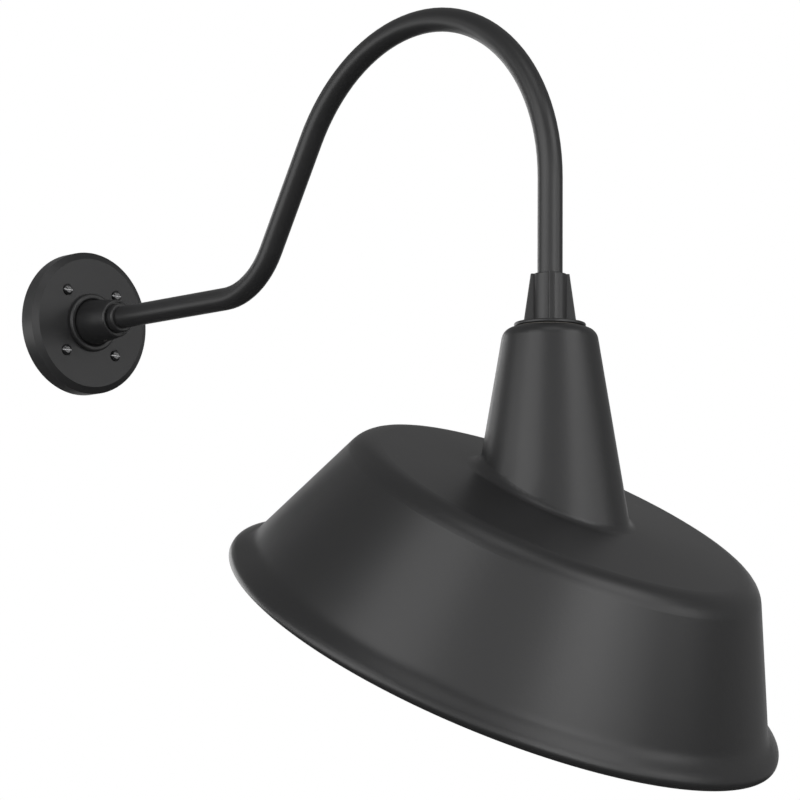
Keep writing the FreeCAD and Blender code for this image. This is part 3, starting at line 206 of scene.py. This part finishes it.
def powderCoat(name, lined=False):
    finish = Finish(name, Specular_IOR_Level=0.5)
    drift = finish.noise(powderLook["driftScale"], 2.0)
    peel = finish.noise(powderLook["peelScale"], 1.0)
    grain = finish.noise(powderLook["grainScale"], 2.0, 0.6)
    speck = finish.noise(powderLook["speckScale"], 4.0, 0.7).above(0.66, 0.03)
    colour = finish.mix(drift * 0.6 + grain * 0.4, powderLook["dark"], powderLook["pale"])
    roughness = powderLook["roughness"] + drift * 0.05 + grain * 0.06 - speck * 0.05
    if lined:
        # white inside, by the piece's own attribute, with a slightly ragged edge of overspray
        lining = finish.add("ShaderNodeAttribute", {"attribute_name": "lining"}, output="Fac")
        inside = (lining + (grain - 0.5) * powderLook["ragged"]).above(0.5, 0.1)
        soot = finish.noise(powderLook["sootScale"], 4.0, 0.6)
        white = finish.mix(soot * 0.7 + speck * 0.1, powderLook["white"], powderLook["whiteShade"])
        colour = finish.mix(inside, colour, white)
        roughness = roughness + inside * (0.06 + soot * 0.08)
    finish.surface(
        Base_Color=colour,
        Roughness=roughness,
        Normal=finish.bumps(peel + grain * 0.3 + speck * 0.2, powderLook["peel"]),
    )
    return finish.material


# the wall screws stand as far up and down from the middle as they do left and right
screwLook = {
    "reach": 0.02655,
    "slotHalf": 0.00032,
    "slotEdge": 0.00005,
    "coat": (0.008, 0.008, 0.009),
    "rubbed": (0.02, 0.02, 0.021),
    "steel": (0.72, 0.72, 0.73),
    "roughness": 0.15,
}


def glossBlack():
    # the screws' heads: a thin bright black over steel, rubbed bare in the driver's slot; that bare steel band
    # across the slot is partly real wear and partly a painted glint
    finish = Finish("glossBlack", Coat_Weight=0.6, Coat_Roughness=0.05)
    rub = finish.noise(900.0, 4.0, 0.6).above(0.62, 0.05)
    level = finish.add("ShaderNodeSeparateXYZ", inputs={"Vector": finish.place}, output="Z")
    beside = abs(abs(level) - screwLook["reach"])
    # a band of bare steel at the slot's height across each head: partly wear in the slot, partly a painted
    # glint for the light that the slot's edges catch
    bareSlotGlint = (screwLook["slotHalf"] - beside).above(0.0, screwLook["slotEdge"]) * (0.6 + rub * 0.4)
    black = finish.mix(rub, screwLook["coat"], screwLook["rubbed"])
    finish.surface(
        Base_Color=finish.mix(bareSlotGlint, black, screwLook["steel"]),
        Metallic=bareSlotGlint,
        Roughness=screwLook["roughness"] + rub * 0.1 + bareSlotGlint * 0.15,
        Normal=finish.bumps(finish.noise(700.0, 3.0), 0.000003),
    )
    return finish.material


zincLook = {
    "blue": (0.60, 0.61, 0.64),
    "straw": (0.70, 0.67, 0.58),
    "bloom": (0.80, 0.80, 0.80),
    "roughness": 0.26,
}


def zincPlate():
    finish = Finish("zincPlate", Metallic=1.0)
    tint = finish.noise(60.0, 2.0)
    turned = finish.noise(30.0, 3.0, 0.6, finish.stretched(1.0, 1.0, 60.0))
    bloom = finish.noise(240.0, 5.0, 0.65).above(0.6, 0.06)
    silver = finish.mix(tint, zincLook["blue"], zincLook["straw"])
    finish.surface(
        Base_Color=finish.mix(bloom * 0.5, silver, zincLook["bloom"]),
        Roughness=zincLook["roughness"] + turned * 0.12 + bloom * 0.2,
        Normal=finish.bumps(turned + bloom * 0.2, 0.00002),
    )
    return finish.material


foamLook = {"dark": (0.014, 0.014, 0.014), "dusty": (0.032, 0.031, 0.030), "roughness": 0.86, "pores": 1500.0}


def cellFoam():
    finish = Finish("cellFoam", Specular_IOR_Level=0.25)
    dust = finish.noise(120.0, 4.0)
    finish.surface(
        Base_Color=finish.mix(dust, foamLook["dark"], foamLook["dusty"]),
        Roughness=foamLook["roughness"] + dust * 0.1,
        Normal=finish.bumps(finish.cells(foamLook["pores"]), 0.0002, 0.7),
    )
    return finish.material


rubberLook = {"dark": (0.018, 0.018, 0.019), "bloom": (0.045, 0.044, 0.043), "roughness": 0.58}


def softRubber():
    finish = Finish("softRubber", Specular_IOR_Level=0.35)
    bloom = finish.noise(180.0, 4.0, 0.6)
    finish.surface(
        Base_Color=finish.mix(bloom, rubberLook["dark"], rubberLook["bloom"]),
        Roughness=rubberLook["roughness"] + bloom * 0.2,
        Normal=finish.bumps(finish.noise(1400.0, 2.0), 0.00002),
    )
    return finish.material


nylonLook = {"dark": (0.66, 0.63, 0.54), "pale": (0.78, 0.75, 0.67), "roughness": 0.38}


def mouldedNylon():
    finish = Finish("mouldedNylon", Subsurface_Weight=0.15, Subsurface_Scale=0.002)
    cloud = finish.noise(90.0, 3.0)
    finish.surface(
        Base_Color=finish.mix(cloud, nylonLook["dark"], nylonLook["pale"]),
        Roughness=nylonLook["roughness"] + cloud * 0.12,
        Normal=finish.bumps(finish.noise(900.0, 2.0), 0.00002),
    )
    return finish.material


leadLook = {
    "blackJacket": {"dark": (0.012, 0.012, 0.013), "pale": (0.05, 0.05, 0.05)},
    "whiteJacket": {"dark": (0.72, 0.72, 0.70), "pale": (0.86, 0.86, 0.84)},
    "greenJacket": {"dark": (0.018, 0.16, 0.05), "pale": (0.07, 0.27, 0.12)},
}


def leadJacket(name):
    # smooth extruded insulation, with faint lines along it and a little talc
    finish = Finish(name)
    talc = finish.noise(500.0, 4.0, 0.65).above(0.58, 0.08)
    drawn = finish.noise(40.0, 3.0, 0.5, finish.stretched(40.0, 1.0, 1.0))
    finish.surface(
        Base_Color=finish.mix(talc * 0.35 + drawn * 0.3, leadLook[name]["dark"], leadLook[name]["pale"]),
        Roughness=0.34 + talc * 0.25,
        Normal=finish.bumps(drawn, 0.00002),
    )
    return finish.material


capLook = {"dark": (0.66, 0.29, 0.035), "pale": (0.82, 0.42, 0.08), "roughness": 0.32}


def capPlastic():
    finish = Finish("capPlastic", Subsurface_Weight=0.1, Subsurface_Scale=0.001)
    flow = finish.noise(130.0, 3.0, 0.55)
    finish.surface(
        Base_Color=finish.mix(flow, capLook["dark"], capLook["pale"]),
        Roughness=capLook["roughness"] + flow * 0.16,
        Normal=finish.bumps(finish.noise(1500.0, 2.0), 0.00002),
    )
    return finish.material


greenLook = {"dye": (0.045, 0.26, 0.09), "worn": (0.45, 0.47, 0.40), "roughness": 0.3}


def greenDye():
    finish = Finish("greenDye", Metallic=0.75)
    wear = finish.noise(650.0, 5.0, 0.65).above(0.62, 0.05)
    finish.surface(
        Base_Color=finish.mix(wear, greenLook["dye"], greenLook["worn"]),
        Roughness=greenLook["roughness"] + wear * 0.2,
        Normal=finish.bumps(wear, 0.00002),
    )
    return finish.material


fibreLook = {"dark": (0.10, 0.095, 0.085), "pale": (0.30, 0.28, 0.25), "roughness": 0.8}


def pressedFibre():
    finish = Finish("pressedFibre", Specular_IOR_Level=0.25)
    strands = finish.noise(420.0, 6.0, 0.75)
    finish.surface(
        Base_Color=finish.mix(strands, fibreLook["dark"], fibreLook["pale"]),
        Roughness=fibreLook["roughness"] + strands * 0.15,
        Normal=finish.bumps(strands, 0.00012),
    )
    return finish.material


porcelainLook = {
    "warm": (0.78, 0.76, 0.70),
    "white": (0.86, 0.85, 0.80),
    "clay": (0.32, 0.29, 0.24),
    "roughness": 0.16,
}


def glazedPorcelain():
    # a warm white glaze with pinholes and a few fine grey specks of clay
    finish = Finish("glazedPorcelain", Coat_Weight=0.6, Coat_Roughness=0.06)
    wave = finish.noise(70.0, 2.0)
    speck = finish.noise(850.0, 3.0, 0.7).above(0.71, 0.02)
    glaze = finish.mix(wave, porcelainLook["warm"], porcelainLook["white"])
    finish.surface(
        Base_Color=finish.mix(speck * 0.7, glaze, porcelainLook["clay"]),
        Roughness=porcelainLook["roughness"] + wave * 0.08 + speck * 0.2,
        Normal=finish.bumps(wave - speck * 0.1, 0.00012),
    )
    return finish.material


brassLook = {"bright": (0.80, 0.61, 0.30), "tarnished": (0.50, 0.34, 0.14), "roughness": 0.22}


def drawnBrass():
    finish = Finish("drawnBrass", Metallic=1.0)
    rings = finish.noise(30.0, 3.0, 0.6, finish.stretched(1.0, 1.0, 50.0))
    tarnish = finish.noise(150.0, 5.0, 0.6).above(0.55, 0.12)
    finish.surface(
        Base_Color=finish.mix(tarnish, brassLook["bright"], brassLook["tarnished"]),
        Roughness=brassLook["roughness"] + rings * 0.1 + tarnish * 0.2,
        Normal=finish.bumps(rings, 0.00002),
    )
    return finish.material


aluminiumLook = {"dull": (0.66, 0.66, 0.65), "bright": (0.80, 0.80, 0.79), "roughness": 0.24}


def drawnAluminium():
    finish = Finish("drawnAluminium", Metallic=1.0)
    rings = finish.noise(35.0, 3.0, 0.6, finish.stretched(1.0, 1.0, 45.0))
    dull = finish.noise(170.0, 4.0, 0.6)
    finish.surface(
        Base_Color=finish.mix(dull, aluminiumLook["dull"], aluminiumLook["bright"]),
        Roughness=aluminiumLook["roughness"] + rings * 0.1 + dull * 0.12,
        Normal=finish.bumps(rings, 0.00002),
    )
    return finish.material


blackGlassLook = {"dark": (0.012, 0.010, 0.016), "violet": (0.05, 0.035, 0.06), "roughness": 0.12}


def blackGlass():
    finish = Finish("blackGlass", Coat_Weight=0.5, Coat_Roughness=0.05)
    swirl = finish.noise(160.0, 3.0, 0.6)
    finish.surface(
        Base_Color=finish.mix(swirl, blackGlassLook["dark"], blackGlassLook["violet"]),
        Roughness=blackGlassLook["roughness"] + swirl * 0.12,
        Normal=finish.bumps(swirl, 0.00005),
    )
    return finish.material


frostLook = {"dull": (0.86, 0.86, 0.83), "white": (0.93, 0.93, 0.91), "roughness": 0.42}


def frostedGlass():
    # a white inner coating seen through clear glass
    finish = Finish("frostedGlass", Transmission_Weight=0.35, IOR=1.45, Coat_Weight=0.8, Coat_Roughness=0.04)
    haze = finish.noise(28.0, 2.0)
    finish.surface(
        Base_Color=finish.mix(haze, frostLook["dull"], frostLook["white"]),
        Roughness=frostLook["roughness"] + haze * 0.1,
        Normal=finish.bumps(finish.noise(1200.0, 2.0), 0.00001),
    )
    return finish.material


print("sconce: finishes")
finishes = {
    "powder_coat": powderCoat("powderCoat"),
    "screw_black": glossBlack(),
    "zinc_steel": zincPlate(),
    "foam": cellFoam(),
    "seal_rubber": softRubber(),
    "nylon": mouldedNylon(),
    "black_insulation": leadJacket("blackJacket"),
    "white_insulation": leadJacket("whiteJacket"),
    "green_insulation": leadJacket("greenJacket"),
    "cap_plastic": capPlastic(),
    "green_screw": greenDye(),
    "fibre": pressedFibre(),
    "porcelain": glazedPorcelain(),
    "brass": drawnBrass(),
    "lamp_metal": drawnAluminium(),
    "lamp_black_glass": blackGlass(),
    "frosted_glass": frostedGlass(),
}
slotOf = {part["node"]: part["material_slot"] for part in frame["record"]["subparts"]}
for name, node in nodes.items():
    node.data.materials.clear()
    node.data.materials.append(finishes[slotOf[name]])


def pointsOf(mesh):
    points = np.empty(len(mesh.vertices) * 3)
    mesh.vertices.foreach_get("co", points)
    return points.reshape(-1, 3)


def roundFaces(rows, columns):
    # four corners for each face of a sheet of rows that closes round its columns
    row, column = np.meshgrid(np.arange(rows - 1), np.arange(columns), indexing="ij")
    after = (column + 1) % columns
    here, there = row * columns, (row + 1) * columns
    return np.stack([here + column, there + column, there + after, here + after], -1).reshape(-1, 4)


def newPiece(name, points, faces, material):
    mesh = bpy.data.meshes.new(name)
    mesh.from_pydata(points.tolist(), [], faces)
    mesh.materials.append(material)
    piece = bpy.data.objects.new(name, mesh)
    scene.collection.objects.link(piece)
    return piece


shadeLook = {
    "rimCentre": (0.0, 0.0448, -0.3077),  # from the leg's axis, in the head's own frame
    "rimTilt": 28.3,  # degrees, towards the wall
    "headTurn": 5.0,  # degrees that the head stands turned on the leg
    "legAxis": (0.0, -0.5884),
    # radius, height above the rim and sides of the rings that the skirt joins, outside and inside
    "joins": ((0.16415, 0.10726, 110), (0.16279, 0.10663, 109)),
    "joinLevel": 0.00002,  # a point this near the height of a ring may belong to it
    "joinReach": 0.00005,  # if it's also this near its radius
    "around": 330,
    "rounds": 3,  # how often the corners of the profile are cut
    "flow": 0.0100,  # how far the coat evens out the corners
    "rimFlow": 0.0010,  # and how far at the rim
    "edgeRows": 3,  # rows past the rim that are still black
    # what the spun skirt and its rolled lip are drawn to: radius and height above the rim, in millimetres
    "outside": (
        (164.15, 107.26),
        (170.01, 94.60),
        (186.02, 60.00),
        (198.05, 34.00),
        (205.30, 18.20),
        (208.20, 11.60),
        (213.80, 10.20),
        (218.70, 7.20),
        (220.20, 1.60),
        (218.80, -1.10),
        (217.00, -0.40),
    ),
    "inside": (
        (217.00, -0.40),
        (216.60, 1.40),
        (216.90, 4.60),
        (213.60, 7.70),
        (207.60, 8.90),
        (205.60, 13.00),
        (203.90, 17.60),
        (196.72, 33.30),
        (184.62, 59.45),
        (168.68, 93.90),
        (162.79, 106.63),
    ),
}


def softened(corners):
    # each round cuts every corner of a line at a quarter and three quarters of its sides
    for _ in range(shadeLook["rounds"]):
        start, end = corners[:-1], corners[1:]
        cuts = np.stack([start * 0.75 + end * 0.25, start * 0.25 + end * 0.75], 1)
        corners = np.vstack([corners[:1], cuts.reshape(-1, 2), corners[-1:]])
    return corners


def rimPlace():
    # the rim's centre, and the directions up the dome's axis, to its side and across both
    turn = Matrix.Rotation(math.radians(shadeLook["headTurn"]), 3, "Z")
    tilt = math.radians(shadeLook["rimTilt"])
    axis = np.array(turn @ Vector((0.0, -math.sin(tilt), math.cos(tilt))))
    side = np.array(turn @ Vector((1.0, 0.0, 0.0)))
    centre = np.array(turn @ Vector(shadeLook["rimCentre"]) + Vector((*shadeLook["legAxis"], 0.0)))
    return centre, axis, side, np.cross(axis, side)


def keptTop(mesh, centre, axis):
    # the points and faces of the solid's shade above the joins, the faces' normals, and 1 for lined points
    points = pointsOf(mesh)
    corners, normals = np.empty(len(mesh.loops), np.int32), np.empty(len(mesh.loops) * 3)
    mesh.loops.foreach_get("vertex_index", corners)
    mesh.corner_normals.foreach_get("vector", normals)
    corners, normals = corners.reshape(-1, 3), normals.reshape(-1, 3, 3)
    height = (points - centre) @ axis
    (_, outerHeight, _), (_, innerHeight, _) = shadeLook["joins"]
    # a face that looks back at the rim's centre is on the inside, which joins a little lower
    inner = (normals.mean(1) * (points[corners].mean(1) - centre)).sum(1) < 0
    joinHeight = np.where(inner, innerHeight, outerHeight)
    kept = height[corners].max(1) > joinHeight + shadeLook["joinLevel"]
    used, corners = np.unique(corners[kept], return_inverse=True)
    corners = corners.reshape(-1, 3)
    lining = np.zeros(len(used))
    lining[corners[inner[kept]]] = 1.0
    return points[used], corners, normals[kept], lining


def skirtLine():
    # the profile from the join outside, round the lip, to the join inside, which way it runs at each
    # point, and the row of the rim
    outside, inside = (softened(np.array(shadeLook[key]) * milli) for key in ("outside", "inside"))
    line = np.vstack([outside, inside[1:]])
    rimRow = len(outside) - 1
    # the coat evens out the corners: a point faces as the line does from just before it to just after it,
    # over a shorter and shorter way towards the rim
    travel = np.concatenate([[0.0], np.cumsum(np.linalg.norm(np.diff(line, axis=0), axis=1))])
    shift = np.minimum(shadeLook["flow"], np.abs(travel - travel[rimRow]) + shadeLook["rimFlow"])
    before, after = (np.stack([np.interp(travel + way, travel, values) for values in line.T], 1)
                     for way in (-shift, shift))
    along = (after - before) / np.linalg.norm(after - before, axis=1)[:, None]
    return line, along, rimRow


def makeShade():
    # The shade's top and neck stay as they are. The skirt is the profile turned round the dome's axis: a
    # point stands at the rim's centre, plus its radius outwards at its angle, plus its height up the axis.
    centre, axis, side, across = rimPlace()
    points, corners, normals, lining = keptTop(nodes["shade"].data, centre, axis)
    line, along, rimRow = skirtLine()
    around = shadeLook["around"]
    angle = np.arange(around) * 2 * np.pi / around
    radius = np.repeat(line[:, :1], around, 1)
    for row, (reach, level, sides) in zip((0, -1), shadeLook["joins"]):
        # the end rows follow the straight sides of the ring that they join
        ring = points[np.abs((points - centre) @ axis - level) < shadeLook["joinLevel"]]
        ring = ring - centre - level * axis
        ring = ring[np.abs(np.linalg.norm(ring, axis=1) - reach) < shadeLook["joinReach"]]
        first = np.arctan2(ring[0] @ across, ring[0] @ side)
        step = 2 * np.pi / sides
        radius[row] = reach * math.cos(step / 2) / np.cos(np.mod(angle - first, step) - step / 2)
    outward = np.cos(angle)[:, None] * side + np.sin(angle)[:, None] * across
    sheet = centre + radius[..., None] * outward + line[:, 1][:, None, None] * axis
    facing = -along[:, 1][:, None, None] * outward + along[:, 0][:, None, None] * axis
    quads = roundFaces(len(line), around)

    faces = corners.tolist() + (quads + len(points)).tolist()
    coat = powderCoat("linedPowderCoat", lined=True)
    shade = newPiece("spun_shade", np.vstack([points, sheet.reshape(-1, 3)]), faces, coat)
    mesh = shade.data
    white = np.repeat(np.arange(len(line)) > rimRow + shadeLook["edgeRows"], around)
    mesh.attributes.new("lining", "FLOAT", "POINT").data.foreach_set("value", np.concatenate([lining, white]))
    mesh.polygons.foreach_set("use_smooth", np.ones(len(mesh.polygons), bool))
    facing = facing.reshape(-1, 3)[quads].reshape(-1, 3)
    mesh.normals_split_custom_set(np.vstack([normals.reshape(-1, 3), facing]).tolist())
    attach(shade, "shade_head")
    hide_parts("shade")


print("sconce: shade")
makeShade()

# Threads are wound on the plain shanks of the wall screws and on the lamp's base. Sizes are in
# millimetres, land is a share of the pitch and steps is how many rows a turn has.
threads = {
    "studThread": {
        "body": "arm",
        "slot": "screw_black",
        "core": 2.33,
        "crest": 2.62,
        "pitch": 0.8,
        "land": 0.25,
        "steps": 24,
    },
    "lampThread": {
        "body": "lamp",
        "slot": "lamp_metal",
        "core": 12.9,
        "crest": 13.24,
        "pitch": 3.6,
        "land": 0.45,
        "steps": 72,
    },
}
ridgeLook = {"foot": 0.96, "fade": 0.5, "leastRise": 0.03}  # in pitches, in turns, and as a share of the crest
studEnds = {"from": 0.0006, "to": 0.0214}  # along the shank, from the wall plane
lampEnds = {"below": 0.0035, "above": 0.0035}  # plain ends of the lamp's base


def ridge(thread, length):
    # A ridge round the Z axis: at turn t it stands at pitch times t, and across it the radius goes from the
    # core to the crest, along the land and back. It rises and falls away over half a turn at its ends.
    pitch, core, crest = (thread[key] * milli for key in ("pitch", "core", "crest"))
    turns = length / pitch - 1
    turn = np.linspace(0, turns, int(turns * thread["steps"]) + 1)[:, None]
    rise = np.clip(np.minimum(turn, turns - turn) / ridgeLook["fade"], ridgeLook["leastRise"], 1)
    half = thread["land"] / 2
    across = np.array([-0.5, -half, half, 0.5]) * pitch * ridgeLook["foot"]
    radius = core + rise * np.array([0, 1, 1, 0]) * (crest - core)
    angle = turn * 2 * np.pi
    height = (turn + 0.5) * pitch + across
    grid = np.stack([radius * np.cos(angle), radius * np.sin(angle), height], -1).reshape(-1, 3)
    ring = np.arange(len(across))
    ends = np.stack([ring, (ring + len(grid) - len(across))[::-1]])
    return grid, np.vstack([roundFaces(len(turn), len(across))[:, ::-1], ends])


def windThread(name, shapes):
    # shapes holds the points and faces of each ridge, already in their places
    thread = threads[name]
    counts = np.cumsum([0] + [len(points) for points, _ in shapes])
    points = np.vstack([points for points, _ in shapes])
    faces = np.vstack([faces + start for (_, faces), start in zip(shapes, counts)])
    piece = newPiece(name, points, faces.tolist(), finishes[thread["slot"]])
    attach(piece, thread["body"])


def makeThreads():
    reach, start = screwLook["reach"], studEnds["from"]
    points, faces = ridge(threads["studThread"], studEnds["to"] - start)
    lying = np.stack([points[:, 0], points[:, 2] + start, -points[:, 1]], 1)  # along Y, behind the wall plane
    places = [np.array([x * reach, 0, z * reach]) for x in (-1, 1) for z in (-1, 1)]
    windThread("studThread", [(lying + place, faces) for place in places])

    base = pointsOf(nodes["lamp_base"].data)
    bottom = base[:, 2].min() + lampEnds["below"]
    points, faces = ridge(threads["lampThread"], base[:, 2].max() - lampEnds["above"] - bottom)
    centre = (base.min(0) + base.max(0)) / 2
    windThread("lampThread", [(points + np.array([centre[0], centre[1], bottom]), faces)])


print("sconce: threads")
makeThreads()

studio = {
    "middle": (0.0, -0.40, -0.05),  # the middle of the arch, which the soft boxes face
    "away": 3.0,  # from there to each soft box
    "ambient": 0.11,  # the room's own light
    "glossShare": 0.15,  # how much of the white backdrop polished pieces show
    "floorHeight": -0.62,
    "floorRadius": 3.2,
    "floorSides": 96,
    "floorTones": ((0.80, 0.80, 0.79), (0.84, 0.84, 0.83)),
    "bounce": 0.12,  # how pale the floor looks to polished pieces
    "floorGlow": 0.36,  # what the floor adds towards white in the picture alone
    "fadeMiddle": 0.78,  # where the floor is half faded, as a share of its radius
    "fadeHalf": 0.21,  # and how far the fade reaches either way
}
# azimuth and elevation of each soft box from the middle, its size and its radiance
softBoxes = {
    "leftBox": {"azimuth": -108.0, "elevation": 0.0, "size": (2.2, 2.6), "glow": 1.9},
    "leftHighBox": {"azimuth": -78.0, "elevation": 20.0, "size": (1.8, 2.2), "glow": 1.9},
    "leftLowBox": {"azimuth": -118.0, "elevation": -24.0, "size": (2.6, 1.2), "glow": 0.9},
    "backLeftBox": {"azimuth": -146.0, "elevation": -14.0, "size": (1.5, 1.9), "glow": 1.1},
    "frontBox": {"azimuth": -10.0, "elevation": 4.0, "size": (1.1, 1.3), "glow": 3.1},
    "frontSideBox": {"azimuth": 8.0, "elevation": 0.0, "size": (1.1, 1.5), "glow": 1.8},
    "highBox": {"azimuth": 14.0, "elevation": 32.0, "size": (1.8, 1.3), "glow": 2.3},
    "plateBox": {"azimuth": 34.0, "elevation": 6.0, "size": (1.1, 1.0), "glow": 1.9},
    "topBox": {"azimuth": -30.0, "elevation": 58.0, "size": (1.6, 1.3), "glow": 1.2},
    "fillBox": {"azimuth": -45.0, "elevation": 5.0, "size": (2.4, 2.2), "glow": 0.8},
    "backSideBox": {"azimuth": 134.0, "elevation": 0.0, "size": (2.6, 1.6), "glow": 0.4},
    "backBox": {"azimuth": 176.0, "elevation": 4.0, "size": (2.2, 1.8), "glow": 1.7},
}
middle = Vector(studio["middle"])


def makeWorld():
    # white to the camera and through glass, dimmer in reflections, and the ambient light for the rest
    world = bpy.data.worlds.new("studio")
    world.use_nodes = True
    scene.world = world
    graph = Graph(world.node_tree)
    background = world.node_tree.nodes["Background"]
    graph.plug(background.inputs["Color"], (1.0, 1.0, 1.0))
    camera, glossy, through = (graph.rays(kind) for kind in ("Camera", "Glossy", "Transmission"))
    seen = camera + through + glossy * studio["glossShare"]
    graph.plug(background.inputs["Strength"], seen + (1.0 - seen) * studio["ambient"] * (1.0 - camera))


def makeSoftBox(name, azimuth, elevation, size, glow):
    back = directionAt(azimuth, elevation)
    data = bpy.data.lights.new(name, "AREA")
    data.shape = "RECTANGLE"
    data.size, data.size_y = size
    data.energy = glow * math.pi * size[0] * size[1]
    box = bpy.data.objects.new(name, data)
    box.rotation_mode = "QUATERNION"
    box.rotation_quaternion = (-back).to_track_quat("-Z", "Y")
    box.location = middle + back * studio["away"]
    box.visible_camera = False
    scene.collection.objects.link(box)


def makeFloor():
    # a round pale floor that fades out at its edge and can't be seen from below
    radius = studio["floorRadius"]
    bpy.ops.mesh.primitive_circle_add(vertices=studio["floorSides"], radius=radius, fill_type="NGON")
    floor = bpy.context.object
    floor.name = "floor"
    floor.location = (middle.x, middle.y, studio["floorHeight"])
    finish = Finish("paleFloor", Specular_IOR_Level=0.2)
    mottle = finish.noise(3.0, 3.0)
    camera, diffuse = finish.rays("Camera"), finish.rays("Diffuse")
    bounce, glow = studio["bounce"], studio["floorGlow"]
    pale = finish.mix(mottle, *studio["floorTones"])
    finish.surface(
        Base_Color=finish.mix(camera + diffuse, (bounce, bounce, bounce), pale),
        Emission_Color=finish.mix(camera, (0.0, 0.0, 0.0), (glow, glow, glow)),
        Emission_Strength=1.0,
        Roughness=0.7 + mottle * 0.2,
    )
    below = finish.add("ShaderNodeNewGeometry", output="Backfacing")
    reach = finish.add("ShaderNodeVectorMath", {"operation": "LENGTH"}, {0: finish.place}, output="Value")
    fade = (reach / radius).above(studio["fadeMiddle"], studio["fadeHalf"])
    solid = Wire(finish, finish.shader.outputs[0])
    clear = finish.add("ShaderNodeBsdfTransparent")
    factor = below + fade * (1.0 - below)
    shown = finish.add("ShaderNodeMixShader", {}, {0: factor, 1: solid, 2: clear})
    finish.plug(finish.tree.nodes["Material Output"].inputs["Surface"], shown)
    floor.data.materials.append(finish.material)


print("sconce: studio")
makeWorld()
for name, box in softBoxes.items():
    makeSoftBox(name, **box)
makeFloor()

print("sconce: done")
